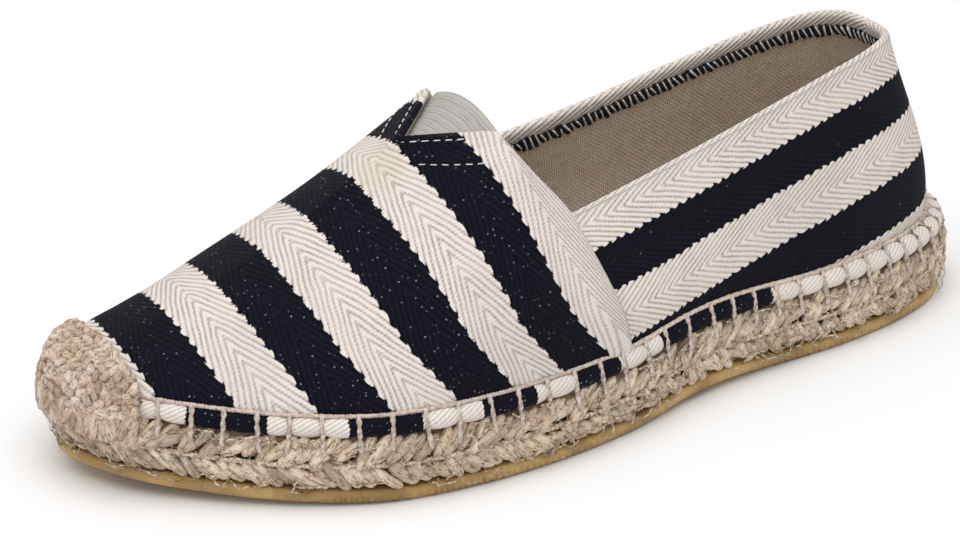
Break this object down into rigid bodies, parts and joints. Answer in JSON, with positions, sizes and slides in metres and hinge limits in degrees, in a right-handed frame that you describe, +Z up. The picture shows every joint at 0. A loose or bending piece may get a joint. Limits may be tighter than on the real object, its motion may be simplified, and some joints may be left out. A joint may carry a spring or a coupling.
{
  "type": "espadrille",
  "caption": "Left espadrille: striped cloth upper open at the collar, elastic gore, braided jute sole, corded toe guard and rubber tread.",
  "frame": {"origin": "middle of the shoe's bounding box in plan, on the floor under the sole", "axes": "+X along the shoe to the toe, +Y to the outer side of the left foot, +Z up"},
  "size_m": [0.2544, 0.0938, 0.0778],
  "materials": {
    "tread_rubber": "satin amber crepe rubber",
    "jute_braid": "coarse braided jute",
    "insole_cloth": "plain canvas",
    "upper_cloth": "striped herringbone cotton",
    "toe_cord": "looped jute cord",
    "gore_elastic": "ribbed elastic"
  },
  "bodies": {
    "root": {"outsole": "tread_rubber", "jute_sole": "jute_braid", "insole": "insole_cloth", "upper": "upper_cloth", "toe_guard": "toe_cord", "elastic_gore": "gore_elastic"}
  },
  "joints": []
}
